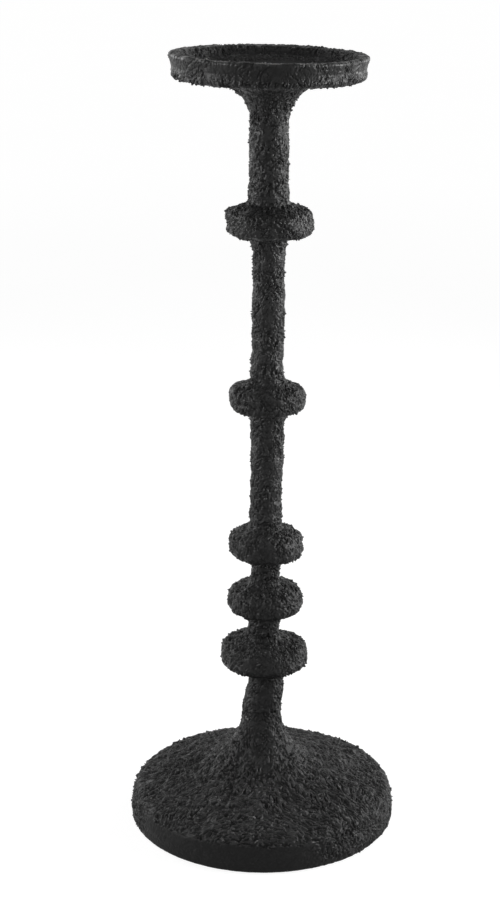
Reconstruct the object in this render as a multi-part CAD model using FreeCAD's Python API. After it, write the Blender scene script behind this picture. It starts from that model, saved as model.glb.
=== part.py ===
"""Tall pillar candlestick: wooden pieces stacked on a steel tie rod, each coated in black paper pulp.

Millimetres, +Z up. The origin is on the stand plane, under the centre of the base.
Everything is turned about Z. From the floor up: a felt pad, a base board with a bell-shaped foot block,
six hollow stem sleeves with a ring core between each two, a neck block, and a cup made of a board with a
hoop round its edge. One tie rod clamps the stack, from a nut in the base board to a cap nut in the cup.
Every wooden piece has a pulp coat of its own, and a pressed steel plate for the candle lies in the cup.
"""
import FreeCAD
import Part
import math
import os

# Felt pad and base
felt_thickness = 2.0
felt_proud = 0.6            # how far the felt stands below the base coat
felt_inset = 1.5            # board edge to felt edge
board_radius = 76.0
board_thickness = 14.0
base_side_coat = 3.4        # pulp on the board's edge
base_edge_height = 19.3     # stand plane to where the base's side and cone would meet
base_edge_rounding = 8.0
base_bottom_rounding = 2.0
base_cone_height = 36.9     # stand plane to where the cone would meet the stem's side
base_flare = 40.3           # radius of the sweep from the cone into the stem
base_cone_coat = 4.0        # pulp over the foot block's cone
base_coat_top = 69.6        # stand plane to the top of the base's coat
foot_block_radius = 66.0
foot_block_height = 46.0    # above the board
foot_neck_coat = 2.5        # pulp round the foot block's neck
foot_socket_depth = 12.0

# Stem, from the lowest section up
stem_length_1 = 27.3
stem_length_2 = 12.9
stem_length_3 = 12.2
stem_length_4 = 67.4
stem_length_5 = 81.4
stem_length_6 = 40.3
stem_radius_1 = 11.3
stem_radius_2 = 9.0
stem_radius_3 = 8.4
stem_radius_4 = 9.4
stem_radius_5 = 9.1
stem_radius_6 = 11.0
stem_flare_1 = 1.6          # extra radius where a section runs up to the ring above
stem_flare_2 = 1.1
stem_flare_3 = 1.5
stem_flare_4 = 2.7
stem_flare_5 = 1.8
stem_flare_height = 7.0
sleeve_radius = 6.0
rod_bore_radius = 3.2

# Rings, from the lowest up
ring_radius_1 = 25.6
ring_radius_2 = 22.2
ring_radius_3 = 21.8
ring_radius_4 = 21.6
ring_radius_5 = 24.5
ring_height_1 = 14.8
ring_height_2 = 13.8
ring_height_3 = 14.0
ring_height_4 = 12.8
ring_height_5 = 13.3
ring_lower_rounding = 6.0   # of the four lower rings
ring_upper_rounding = 5.8
top_ring_lower_rounding = 4.0
top_ring_upper_rounding = 2.6
ring_top_rise = 3.6         # the coat's upper face climbs this much towards the stem
ring_neck_height = 8.0      # ring's upper edge to the top of its coat
ring_neck_fillet = 4.2
ring_edge_coat = 3.2
ring_core_thickness = 8.6
ring_socket_depth = 2.2

# Cup
cup_flare = 21.6            # radius of the sweep from the stem into the underside
cup_flare_height = 20.7     # cup coat's lower end to where stem and underside would meet
cup_underside_rise = 4.2
cup_height = 37.2           # cup coat's lower end to the lip
cup_bottom_rounding = 2.6
cup_wall_flare = 1.5        # the wall leans out this much from its foot to the lip
cup_wall_coat = 1.6         # pulp outside the hoop, at the wall's foot
rim_coat_foot = 2.0         # cup board's lower face to where the rim's coat starts
cup_neck_coat = 2.5
lip_width = 4.8
lip_rounding = 2.2
cup_board_radius = 49.0
cup_board_thickness = 4.0
cup_floor_depth = 7.0       # lip to the cup board's upper face
hoop_thickness = 2.5
hoop_height = 8.2
neck_block_radius = 28.0
neck_block_height = 24.0
neck_socket_depth = 8.0

# Candle plate
plate_radius = 42.8
plate_thickness = 1.2
plate_lip_height = 2.6
plate_bend = 1.0            # inner bend radius of the lip
plate_clearance = 0.5       # plate edge to the pulp round it

# Steel fastenings: tie rod, hex nut, washer and flat-headed cap nut, for a 6 mm thread
rod_radius = 3.0
rod_chamfer = 0.6
rod_end_gap = 0.8           # rod's lower end to the felt, and its upper end to the cap nut's head
nut_across_flats = 10.0
nut_height = 5.0
nut_chamfer = 0.6
washer_radius = 9.0
washer_thickness = 1.6
nut_pocket_radius = 11.0
nut_pocket_depth = 8.5
cap_head_radius = 8.5
cap_head_thickness = 1.6
cap_barrel_radius = 4.4
cap_barrel_length = 11.0
cap_recess_depth = 2.0

# Clearances
glue_line = 0.1             # between a coat and the wood under it
socket_clearance = 0.1      # round a sleeve's end in its socket
thread_clearance = 0.05     # threads are plain, so the nuts clear the rod by this
cap_clearance = 0.2         # round the cap nut's head and barrel

# Sections and rings in order, from the lowest up
stem_lengths = [stem_length_1, stem_length_2, stem_length_3, stem_length_4, stem_length_5, stem_length_6]
stem_radii = [stem_radius_1, stem_radius_2, stem_radius_3, stem_radius_4, stem_radius_5, stem_radius_6]
stem_flares = [stem_flare_1, stem_flare_2, stem_flare_3, stem_flare_4, stem_flare_5]
ring_radii = [ring_radius_1, ring_radius_2, ring_radius_3, ring_radius_4, ring_radius_5]
ring_heights = [ring_height_1, ring_height_2, ring_height_3, ring_height_4, ring_height_5]
top_ring = len(ring_radii) - 1

OUT = "parts"
AXIS = FreeCAD.Vector(0, 0, 1)
ORIGIN = FreeCAD.Vector(0, 0, 0)
FULL_TURN = 360.0
NUT_SIDES = 6
WHOLE_EDGE = 0.96           # share of an edge that a rounding may take, up to a sharp corner
HALF_EDGE = 0.48            # and up to a corner that is rounded too
NONE_LEFT = 1e-6            # a length or a turn smaller than this counts as none


def point(r, z):
    """A place on the half plane that is turned about Z."""
    return FreeCAD.Vector(r, 0, z)


def rounded_outline(corners):
    """Closed wire through (r, z) or (r, z, rounding) corners; a rounding is an arc tangent to both edges."""
    places = [point(c[0], c[1]) for c in corners]
    radii = [c[2] if len(c) > 2 else 0.0 for c in corners]
    count = len(places)
    starts, ends, middles = [], [], []
    for i in range(count):
        here = places[i]
        back = places[i - 1] - here
        ahead = places[(i + 1) % count] - here
        turn = math.pi - back.getAngle(ahead)
        if radii[i] <= 0 or turn < NONE_LEFT:
            starts.append(here)
            ends.append(here)
            middles.append(None)
            continue
        room_back = back.Length * (HALF_EDGE if radii[i - 1] > 0 else WHOLE_EDGE)
        room_ahead = ahead.Length * (HALF_EDGE if radii[(i + 1) % count] > 0 else WHOLE_EDGE)
        reach = min(radii[i] * math.tan(turn / 2), room_back, room_ahead)
        radius = reach / math.tan(turn / 2)
        back.normalize()
        ahead.normalize()
        bisector = (back + ahead).normalize()
        to_centre = math.hypot(reach, radius)
        starts.append(here + back * reach)
        ends.append(here + ahead * reach)
        middles.append(here + bisector * (to_centre - radius))
    edges = []
    for i in range(count):
        if middles[i] is not None:
            edges.append(Part.Arc(starts[i], middles[i], ends[i]).toShape())
        following = starts[(i + 1) % count]
        if (following - ends[i]).Length > NONE_LEFT:
            edges.append(Part.LineSegment(ends[i], following).toShape())
    return Part.Wire(edges)


def turned(corners):
    """Solid of revolution about Z of the outline through these corners."""
    return Part.Face(rounded_outline(corners)).revolve(ORIGIN, AXIS, FULL_TURN)


def tube(inner, outer, low, high):
    return turned([(inner, low), (outer, low), (outer, high), (inner, high)])


def save(shape, node):
    shape.exportStep(os.path.join(OUT, node + ".step"))


# Heights worked out from the driving dimensions
coat_bore = sleeve_radius + glue_line
socket_radius = sleeve_radius + socket_clearance
board_low = felt_thickness
board_high = board_low + board_thickness
foot_high = board_high + foot_block_height
foot_socket_floor = foot_high - foot_socket_depth
pocket_top = board_low + nut_pocket_depth

ring_lows = []
ring_highs = []
stem_lows = [base_coat_top]
for length, height in zip(stem_lengths, ring_heights):
    ring_lows.append(stem_lows[-1] + length)
    ring_highs.append(ring_lows[-1] + height)
    stem_lows.append(ring_highs[-1] + ring_neck_height)
stem_highs = ring_lows + [stem_lows[-1] + stem_lengths[-1]]
core_lows = [(low + high - ring_core_thickness) / 2 for low, high in zip(ring_lows, ring_highs)]
core_highs = [low + ring_core_thickness for low in core_lows]

cup_low = stem_highs[-1]
lip_high = cup_low + cup_height
cup_board_high = lip_high - cup_floor_depth
cup_board_low = cup_board_high - cup_board_thickness
rim_coat_low = cup_board_low + rim_coat_foot
neck_low = cup_board_low - neck_block_height
neck_socket_top = neck_low + neck_socket_depth
cap_head_low = cup_board_high - cap_recess_depth
cap_barrel_low = cap_head_low - cap_barrel_length

sleeve_lows = [foot_socket_floor] + [high - ring_socket_depth for high in core_highs]
sleeve_highs = [low + ring_socket_depth for low in core_lows] + [neck_socket_top]
rod_low = board_low + rod_end_gap
rod_high = cap_head_low - rod_end_gap


def felt_pad():
    return Part.makeCylinder(board_radius - felt_inset, felt_thickness)


def base_board():
    """Disc with a bore for the rod and a pocket for the nut underneath."""
    return turned([
        (nut_pocket_radius, board_low), (board_radius, board_low), (board_radius, board_high),
        (rod_bore_radius, board_high), (rod_bore_radius, pocket_top), (nut_pocket_radius, pocket_top)])


def cone_drop(thickness):
    """How far below the base coat's cone a surface of that depth of pulp lies, measured straight down."""
    run = board_radius + base_side_coat - stem_radii[0]
    rise = base_cone_height - base_edge_height
    return thickness * math.hypot(run, rise) / run


def cone_height_at(radius):
    """Height of the base coat's cone at that radius."""
    side = board_radius + base_side_coat
    climb = (base_cone_height - base_edge_height) / (side - stem_radii[0])
    return base_edge_height + climb * (side - radius)


def foot_corners(gap):
    """The foot block's outside from its lower edge to its top, stood off by that gap."""
    neck = stem_radii[0] - foot_neck_coat
    drop = cone_drop(base_cone_coat - gap)
    return [
        (foot_block_radius + gap, board_high + gap),
        (foot_block_radius + gap, cone_height_at(foot_block_radius + gap) - drop),
        (neck + gap, cone_height_at(neck + gap) - drop, base_flare + base_cone_coat - gap),
        (neck + gap, foot_high + gap)]


def foot_block():
    """Bell that carries the lowest sleeve in a socket."""
    return turned([(rod_bore_radius, board_high)] + foot_corners(0.0) + [
        (socket_radius, foot_high), (socket_radius, foot_socket_floor), (rod_bore_radius, foot_socket_floor)])


def base_coat():
    """Pulp over the board's edge and the foot block, swept up into the stem."""
    side = board_radius + base_side_coat
    inner = board_radius + glue_line
    return turned([
        (inner, felt_proud), (side, felt_proud, base_bottom_rounding),
        (side, base_edge_height, base_edge_rounding),
        (stem_radii[0], base_cone_height, base_flare), (stem_radii[0], base_coat_top),
        (coat_bore, base_coat_top), (coat_bore, foot_high + glue_line)]
        + foot_corners(glue_line)[::-1] + [(inner, board_high + glue_line)])


def stem_sleeve(i):
    return tube(rod_bore_radius, sleeve_radius, sleeve_lows[i], sleeve_highs[i])


def stem_coat(i):
    """Pulp on one stem section, flared where it meets a ring above."""
    flare = min(stem_flare_height, stem_lengths[i] / 2)
    widened = stem_flares[i] if i < len(stem_flares) else 0.0
    return turned([
        (coat_bore, stem_lows[i]), (stem_radii[i], stem_lows[i]),
        (stem_radii[i], stem_highs[i] - flare, flare), (stem_radii[i] + widened, stem_highs[i]),
        (coat_bore, stem_highs[i])])


def ring_core(i):
    """Disc with a bore for the rod and a socket for a sleeve in each face."""
    low, high = core_lows[i], core_highs[i]
    edge = ring_radii[i] - ring_edge_coat
    return turned([
        (socket_radius, low), (edge, low), (edge, high), (socket_radius, high),
        (socket_radius, high - ring_socket_depth), (rod_bore_radius, high - ring_socket_depth),
        (rod_bore_radius, low + ring_socket_depth), (socket_radius, low + ring_socket_depth)])


def ring_coat(i):
    """Pulp round one ring core, its upper face climbing into a neck round the stem."""
    low, high = ring_lows[i], ring_highs[i]
    top = high + ring_neck_height
    neck = stem_radii[i + 1]
    core_edge = ring_radii[i] - ring_edge_coat + glue_line
    core_low, core_high = core_lows[i] - glue_line, core_highs[i] + glue_line
    lower = top_ring_lower_rounding if i == top_ring else ring_lower_rounding
    upper = top_ring_upper_rounding if i == top_ring else ring_upper_rounding
    return turned([
        (coat_bore, low), (ring_radii[i], low, lower),
        (ring_radii[i], high, upper), (neck, high + ring_top_rise, ring_neck_fillet),
        (neck, top), (coat_bore, top), (coat_bore, core_high), (core_edge, core_high),
        (core_edge, core_low), (coat_bore, core_low)])


def wall_foot():
    """Radius of the cup coat's wall at its foot, before that corner is rounded."""
    return cup_board_radius + hoop_thickness + cup_wall_coat


def underside_height_at(radius):
    """Height of the cup coat's underside at that radius."""
    run = wall_foot() - stem_radii[-1]
    return cup_low + cup_flare_height + cup_underside_rise * (radius - stem_radii[-1]) / run


def neck_corners(gap):
    """The neck block's outside from its lower end to the cup board, stood off by that gap."""
    neck = stem_radii[-1] - cup_neck_coat
    lift = cup_neck_coat - gap
    return [
        (neck + gap, neck_low - gap),
        (neck + gap, underside_height_at(neck) + lift, cup_flare + lift),
        (neck_block_radius + gap, underside_height_at(neck_block_radius) + lift),
        (neck_block_radius + gap, cup_board_low - gap)]


def neck_block():
    """Trumpet that carries the cup board, with a socket for the top sleeve and a bore for the cap nut."""
    barrel = cap_barrel_radius + cap_clearance
    barrel_floor = cap_barrel_low - cap_clearance
    return turned([(socket_radius, neck_low)] + neck_corners(0.0) + [
        (barrel, cup_board_low), (barrel, barrel_floor), (rod_bore_radius, barrel_floor),
        (rod_bore_radius, neck_socket_top), (socket_radius, neck_socket_top)])


def cup_board():
    """Disc with a stepped bore for the cap nut."""
    barrel = cap_barrel_radius + cap_clearance
    head = cap_head_radius + cap_clearance
    return turned([
        (barrel, cup_board_low), (cup_board_radius, cup_board_low), (cup_board_radius, cup_board_high),
        (head, cup_board_high), (head, cap_head_low), (barrel, cap_head_low)])


def rim_hoop():
    """Strip bent round the cup board's edge, which makes the rim."""
    inner = cup_board_radius + glue_line
    return tube(inner, inner + hoop_thickness, cup_board_low, cup_board_low + hoop_height)


def wall_radius_at(height):
    """Radius of the cup's leaning wall at that height."""
    low = underside_height_at(wall_foot())
    return wall_foot() + cup_wall_flare * (height - low) / (lip_high - low)


def hoop_outside():
    """Radius of the pulp's inner face round the hoop."""
    return cup_board_radius + 2 * glue_line + hoop_thickness


def cup_coat():
    """Pulp over the neck block, the underside and the foot of the wall."""
    foot = wall_foot()
    return turned([
        (coat_bore, cup_low), (stem_radii[-1], cup_low),
        (stem_radii[-1], cup_low + cup_flare_height, cup_flare),
        (foot, underside_height_at(foot), cup_bottom_rounding),
        (wall_radius_at(rim_coat_low), rim_coat_low), (hoop_outside(), rim_coat_low),
        (hoop_outside(), cup_board_low - glue_line)]
        + neck_corners(glue_line)[::-1] + [(coat_bore, neck_low - glue_line)])


def rim_coat():
    """Pulp over the rest of the wall, the hoop and the sloping inner wall."""
    lip = wall_radius_at(lip_high)
    floor_edge = plate_radius + plate_clearance
    floor = cup_board_high + glue_line
    hoop_top = cup_board_low + hoop_height + glue_line
    return turned([
        (hoop_outside(), rim_coat_low), (wall_radius_at(rim_coat_low), rim_coat_low),
        (lip, lip_high, lip_rounding), (lip - lip_width, lip_high, lip_rounding),
        (floor_edge, floor), (cup_board_radius, floor), (cup_board_radius, hoop_top),
        (hoop_outside(), hoop_top)])


def candle_plate():
    """Pressed steel disc with an upturned lip."""
    low = cup_board_high
    floor = low + plate_thickness
    top = low + plate_lip_height
    wall = plate_radius - plate_thickness
    return turned([
        (0, low), (plate_radius, low, plate_bend + plate_thickness), (plate_radius, top),
        (wall, top), (wall, floor, plate_bend), (0, floor)])


def tie_rod():
    return turned([
        (0, rod_low), (rod_radius - rod_chamfer, rod_low), (rod_radius, rod_low + rod_chamfer),
        (rod_radius, rod_high - rod_chamfer), (rod_radius - rod_chamfer, rod_high), (0, rod_high)])


def washer():
    return tube(rod_radius + thread_clearance, washer_radius, pocket_top - washer_thickness, pocket_top)


def hex_nut():
    """Hexagon with its corners turned off at both ends, and a plain bore for the rod."""
    high = pocket_top - washer_thickness
    low = high - nut_height
    corner = nut_across_flats / 2 / math.cos(math.pi / NUT_SIDES)
    turns = [math.tau * k / NUT_SIDES for k in range(NUT_SIDES + 1)]
    ends = [FreeCAD.Vector(corner * math.cos(turn), corner * math.sin(turn), low) for turn in turns]
    prism = Part.Face(Part.makePolygon(ends)).extrude(AXIS * nut_height)
    bore = rod_radius + thread_clearance
    envelope = turned([
        (bore, low), (corner - nut_chamfer, low), (corner, low + nut_chamfer),
        (corner, high - nut_chamfer), (corner - nut_chamfer, high), (bore, high)])
    return prism.common(envelope)


def cap_nut():
    """Flat head over a barrel, bored from below for the rod."""
    bore = rod_radius + thread_clearance
    high = cap_head_low + cap_head_thickness
    return turned([
        (0, cap_head_low), (bore, cap_head_low), (bore, cap_barrel_low),
        (cap_barrel_radius, cap_barrel_low), (cap_barrel_radius, cap_head_low),
        (cap_head_radius, cap_head_low), (cap_head_radius, high), (0, high)])


def main():
    os.makedirs(OUT, exist_ok=True)
    save(felt_pad(), "felt_pad")
    save(base_board(), "base_board")
    save(foot_block(), "foot_block")
    save(base_coat(), "base_pulp_coat")
    for i in range(len(stem_lengths)):
        save(stem_sleeve(i), f"stem_sleeve_{i + 1}")
        save(stem_coat(i), f"stem_pulp_coat_{i + 1}")
    for i in range(len(ring_radii)):
        save(ring_core(i), f"ring_core_{i + 1}")
        save(ring_coat(i), f"ring_pulp_coat_{i + 1}")
    save(neck_block(), "neck_block")
    save(cup_board(), "cup_board")
    save(rim_hoop(), "rim_hoop")
    save(cup_coat(), "cup_pulp_coat")
    save(rim_coat(), "rim_pulp_coat")
    save(candle_plate(), "candle_plate")
    save(tie_rod(), "tie_rod")
    save(washer(), "tie_rod_washer")
    save(hex_nut(), "tie_rod_nut")
    save(cap_nut(), "cap_nut")
    print(f"height {lip_high:.1f} mm, base {2 * (board_radius + base_side_coat):.1f} mm across")


main()
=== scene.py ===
"""Dressed view of a tall pillar candlestick: turned wood coated in rough black paper pulp, on a pale floor.

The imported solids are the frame, and nothing here moves or resizes them. Shapes are worked out in millimetres
and put into meshes in metres. All pulp coats are cut from one turned outline and share one relief, a heap of
chips, fibres and crumbs with pits between them, so two coats that meet have the same rough edge there.
"""
import math

import bpy
import numpy as np
from mathutils import Euler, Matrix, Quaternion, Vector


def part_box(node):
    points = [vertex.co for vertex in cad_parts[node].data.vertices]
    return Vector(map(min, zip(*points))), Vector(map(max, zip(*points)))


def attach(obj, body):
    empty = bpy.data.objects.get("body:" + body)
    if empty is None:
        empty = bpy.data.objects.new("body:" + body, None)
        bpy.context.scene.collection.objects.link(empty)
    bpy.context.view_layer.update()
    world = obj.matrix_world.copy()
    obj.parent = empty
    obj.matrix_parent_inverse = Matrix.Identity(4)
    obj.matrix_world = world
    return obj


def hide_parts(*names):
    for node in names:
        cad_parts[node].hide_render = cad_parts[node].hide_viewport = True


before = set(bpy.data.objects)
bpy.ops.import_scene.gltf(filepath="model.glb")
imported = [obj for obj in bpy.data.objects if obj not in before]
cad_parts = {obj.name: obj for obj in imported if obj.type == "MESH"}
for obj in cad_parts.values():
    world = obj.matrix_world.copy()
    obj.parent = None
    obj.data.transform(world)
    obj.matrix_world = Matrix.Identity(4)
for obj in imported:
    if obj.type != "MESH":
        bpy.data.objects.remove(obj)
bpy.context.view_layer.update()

MM = 0.001
TURN = 2 * math.pi
STAND = "candlestick"
PLATE = "candle_plate"


def span(node):
    """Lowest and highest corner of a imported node, in millimetres."""
    low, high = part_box(node)
    return np.array(low) / MM, np.array(high) / MM


# Sizes read from the frame
BASE_LOW, BASE_HIGH = span("base_pulp_coat")
CUP_LOW = span("cup_pulp_coat")[0]
RIM_HIGH = span("rim_pulp_coat")[1]
BOARD_HIGH = span("base_board")[1]
FOOT_HIGH = span("foot_block")[1]
NECK_LOW, NECK_HIGH = span("neck_block")
HOOP_HIGH = span("rim_hoop")[1]
PLATE_LOW, PLATE_HIGH = span("candle_plate")
SLEEVE_HIGH = span("stem_sleeve_1")[1]
STEMS = [span(f"stem_pulp_coat_{k}") for k in range(1, 7)]
RINGS = [span(f"ring_pulp_coat_{k}") for k in range(1, 6)]
CORES = [span(f"ring_core_{k}") for k in range(1, 6)]

# Outline, in millimetres: the solids' corners and roundings, lists from the lowest up. The fillets over and
# under the rings and the lip's rounding are tighter than the solids'.
BASE_EDGE_HEIGHT = 19.3
BASE_CONE_HEIGHT = 36.9
BASE_BOTTOM_ROUNDING = 2.0
BASE_EDGE_ROUNDING = 8.0
BASE_FLARE = 40.3
BASE_CONE_COAT = 4.0
STEM_FLARES = [1.6, 1.1, 1.5, 2.7, 1.8]
STEM_FLARE_HEIGHT = 7.0
RING_NECK_HEIGHT = 8.0
RING_TOP_RISE = 3.6
RING_LOWER_ROUNDINGS = [6.0, 6.0, 6.0, 6.0, 4.0]
RING_UPPER_ROUNDINGS = [5.8, 5.8, 5.8, 5.8, 2.6]
RING_NECK_FILLET = 2.4
UNDER_RING_FILLET = 1.6
CUP_FLARE = 21.6
CUP_FLARE_HEIGHT = 20.7
CUP_UNDERSIDE_RISE = 4.2
CUP_BOTTOM_ROUNDING = 2.6
CUP_WALL_FLARE = 1.5
CUP_NECK_COAT = 2.5
HOOP_THICKNESS = 2.5
LIP_WIDTH = 4.8
LIP_ROUNDING = 1.2
GLUE_LINE = 0.1
PLATE_CLEARANCE = 0.5
PLATE_THICKNESS = 1.2
BORE = SLEEVE_HIGH[0] + GLUE_LINE

# Where the larger coats are divided, measured along the outline or across
BASE_EDGE_TO_CONE = 8.0         # the side piece runs this far past the middle of the base's edge
BASE_SLOPE_RADIUS = 46.0        # the cone piece ends and the slope piece starts here
BASE_SWEEP_RADIUS = 25.0        # the slope piece ends and the sweep piece starts here
CUP_UNDERSIDE_RADIUS = 32.0     # the neck piece ends and the underside piece starts here
CUP_WALL_RADIUS = 49.0          # the underside piece ends and the wall piece starts here
LIP_PAST_CREST = 3.0            # the wall piece runs this far past the lip's inner corner
CRUST_RADIUS = 18.0             # the crust on the candle plate has sunk into its floor here

# Crust on the candle plate, in millimetres
CRUST_COVER = 0.2               # past the plate's edge
CRUST_DROP = 1.2                # down the outside of its lip
CRUST_RISE = 0.3                # over its lip
CRUST_LIP_ROUNDING = 0.7
CRUST_INSIDE = 0.5              # past the lip's inner face
CRUST_FOOT_RUN = 2.6            # from that face to the foot
CRUST_FOOT_RISE = 0.7           # above the plate's floor there
CRUST_FOOT_ROUNDING = 1.6
CRUST_FADE_RUN = 12             # over this width the crust thins out
CRUST_FADE_RISE = 0.6
CRUST_END_DEPTH = 0.5           # under the plate's floor where it ends
CRUST_LINING_DEPTH = 0.9        # its lining lies this far under the plate's floor

# Grid
ROW_PITCH = 0.36
MOST_QUADS = 96000
OUTLINE_STEP = 0.05
ARC_POINTS = 160

# Relief
SEED = 411
PATH_STEPS = 12
PULP_SINK = 0.85                # the relief's bed lies this far under the outline
DEEPEST = -0.50                 # and no pit goes further than this below the bed
SOFTENING = 0.06
HEIGHT_STEPS = 4096             # heights are compared in steps of this part of a millimetre
TONES = 256
HEIGHT_OFFSET = 4.0
THINNEST = 1.1                  # the relief takes no point further than this under the outline
MOST_SHARE = 1.15               # share of the relief above which the paint gets no lighter
SMALL_LUMPS = (0.22, 7.5)       # height and wavelength
LARGE_LUMPS = (0.25, 45.0)
ROUGH_WAVE = 15.0               # wavelength of the rougher and smoother patches
ROUGH_BAND = (-0.8, 0.6)

# Lay of the bits: angles in degrees from the direction round the axis, or in plan on the cone
CONE_LEFT_PLAN = 25
CONE_RIGHT_PLAN = 42            # counted the other way
CONE_RADII = (20, 44)           # the cone's order sets in between these
STEEP = 80
WALL_LESS_STEEP = 18
WALL_ORDER = 0.6                # the cup's wall has this share of the cone's order
LAY_WANDER = 24
LAY_WAVE = 26.0
LOOSE_SPREAD = 0.9
ORDERED_LESS = 0.58
SHORTEST = 0.6
ORDERED_LONGER = 0.6
CRUST_LAY = 30
CRUST_WANDER = 40
CRUST_WAVE = 18.0

# Relief by place: a mark on the outline, millimetres past it, share of the relief, least roughness
CANDLESTICK_RELIEF = [
    ("base_start", 0, 0.15, 0.8), ("base_bottom", 0, 0.35, 0.8), ("base_bottom", 6, 0.9, 0.8),
    ("base_edge", -0.4, 1.0, 0.6), ("base_edge", 5, 1.0, 0.6), ("base_edge", 14, 1.3, 0.7),
    ("base_sweep", 0, 1.25, 0.65), ("base_top", 0, 0.88, 0.5), ("ring_1_foot", 0, 1.0, 0.6),
    ("ring_3_top", 0, 1.0, 0.6), ("ring_3_top", 8, 0.88, 0.5),
    ("cup_low", 0, 0.88, 0.5), ("cup_foot", -12, 0.85, 0.5), ("cup_foot", 1.5, 0.8, 0.5),
    ("cup_foot", 5, 0.48, 0.35), ("lip_outside", -1.5, 0.48, 0.35),
    ("lip_outside", 0, 0.4, 0.6), ("lip_inside", 0, 0.4, 0.6), ("lip_inside", 1.5, 0.8, 0.6),
    ("cup_floor", -1.5, 0.6, 0.6), ("cup_floor", 0, 0.1, 0.6)]
CRUST_RELIEF = [
    ("crust_outside", 0, 0.2, 0.6), ("crust_crest", 0, 0.5, 0.6), ("crust_foot", 0, 0.6, 0.6),
    ("crust_fade", 0, 0.5, 0.6), ("crust_end", 0, 0.35, 0.6)]

# How the hand-made coats stray by place: a mark, millimetres past it, sway to the right, rise to the right
# in millimetres per millimetre, and swell
CANDLESTICK_STRAY = [
    ("base_start", 0, -0.8, 0.001, 0), ("base_edge", -9, -0.9, 0.006, 0.1),
    ("base_edge", -5, -0.9, 0.006, -0.7), ("base_edge", 0, -0.9, 0.006, -0.4),
    ("base_edge", 5, -0.9, 0.006, 0.7), ("base_sweep", 0, -1.0, 0.004, 0.4), ("base_top", 0, -1.3, 0, 0.2),
    ("ring_1_foot", -20, -0.1, 0, 0), ("ring_1_foot", -14, 0.6, 0, -0.5),
    ("ring_1_foot", -9, 1.0, 0, -1.3), ("ring_1_foot", -3, 0.4, 0, -0.5),
    ("ring_1_foot", 0, 0, 0, 0), ("ring_1_edge", 0, -0.1, 0, 0), ("ring_1_neck", 0, -0.3, 0, -0.3),
    ("ring_1_top", 0, -0.7, 0, 0.3), ("ring_2_low", 0, 0.1, 0, 0.5), ("ring_2_edge", 0, -0.7, 0, 0),
    ("ring_2_neck", 0, -1.1, 0, 0), ("ring_2_top", 0, -0.4, 0, 0), ("ring_3_low", 0, 0.3, 0, -0.2),
    ("ring_3_edge", 0, -0.7, 0, 0), ("ring_3_neck", 0, -0.2, 0, 0.6), ("ring_3_top", 6, 0, 0, 0),
    ("ring_4_foot", -8, 0.3, 0, 0.2), ("ring_4_low", -4, 0.9, 0, -0.4), ("ring_4_low", 0, 0.5, 0, 0.7),
    ("ring_4_low", 5, 0.5, 0, -0.2), ("ring_4_edge", 0, -0.3, 0, 0.9), ("ring_4_edge", 4, 0.2, 0, 0.3),
    ("ring_4_neck", 0, 0.8, 0.03, 0.9), ("ring_4_top", 2, -0.4, 0, 0.6), ("ring_4_top", 14, 0, 0, 0),
    ("ring_5_foot", -10, 0, 0, 0), ("ring_5_foot", -4, -0.5, 0, 1.0),
    ("ring_5_foot", 0, -0.4, 0, 1.2), ("ring_5_low", 0, 0.3, 0, 0), ("ring_5_low", 5, 0.7, 0, 0),
    ("ring_5_edge", 0, -0.6, -0.01, 0), ("ring_5_neck", 0, -0.6, -0.03, 0.7),
    ("ring_5_top", 2, -0.6, 0, 0.5), ("ring_5_top", 8, 0, 0, 0),
    ("cup_low", 0, 0, 0, 0), ("cup_foot", -26, 0, 0, 0.6), ("cup_foot", 0, -0.6, -0.003, 0.5),
    ("lip_outside", -6, -0.7, -0.012, -0.2), ("lip_outside", 0, -0.7, -0.0166, 0.7),
    ("lip_inside", 0, -0.7, -0.0166, 0), ("cup_floor", 0, 0, 0, 0)]
CRUST_STRAY = [("crust_outside", 0, 0, 0, 0), ("crust_end", 0, 0, 0, 0)]

# Places rubbed smooth, where the paint is also darkened as a painted shade, and places lightened as wear and
# painted highlight: share of the relief taken away, lightening, and bands of the sine or cosine of the turn
# over which they fade in
SIDE_SMOOTH = 0.8
FRONT_SMOOTH = 0.35
LOW_SMOOTH = 0.2
INSIDE_SMOOTH = 0.5
# The lip's lightening is wear with a painted highlight along its crest; ring 5's front edge gets a painted
# highlight
LIP_WEAR_AND_HIGHLIGHT = 0.9
RING_HIGHLIGHT = 0.8
FRONT_BAND = (0.72, 0.97)
BACK_BAND = (0.72, 0.95)
ROUGH_RIGHT_BAND = (0.25, 0.6)
ROUGH_LEFT_BAND = (0.84, 0.95)
RUBBED_WAVE = 9.0               # wavelength of the uneven line and of the lightened stretches

# Paint of the pulp: how light it is, its specular level, and the weight of the coat on its raised bits.
# The crust's paint is about four times as light as the skin's, a painted light against the shade inside the
# cup.
SKIN_PAINT = 0.95
CRUST_LIFTED_PAINT = 4.0
PULP_SPECULAR = 0.18
PULP_COAT = 0.15

# How bright the tent looks in a gloss, from in front of the object to behind it
TENT = [(0.1, (0.55,) * 3), (0.45, (0.55,) * 3), (0.75, (1.0,) * 3)]
FLOOR_SEEN = 0.9
TENT_MATT = 0.11                # how strongly the tent lights matt surfaces
TENT_GLOSS = 0.7                # and how strongly it shows in a gloss


def unit(vector):
    """The vector divided by its length."""
    return vector / np.linalg.norm(vector)


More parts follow.
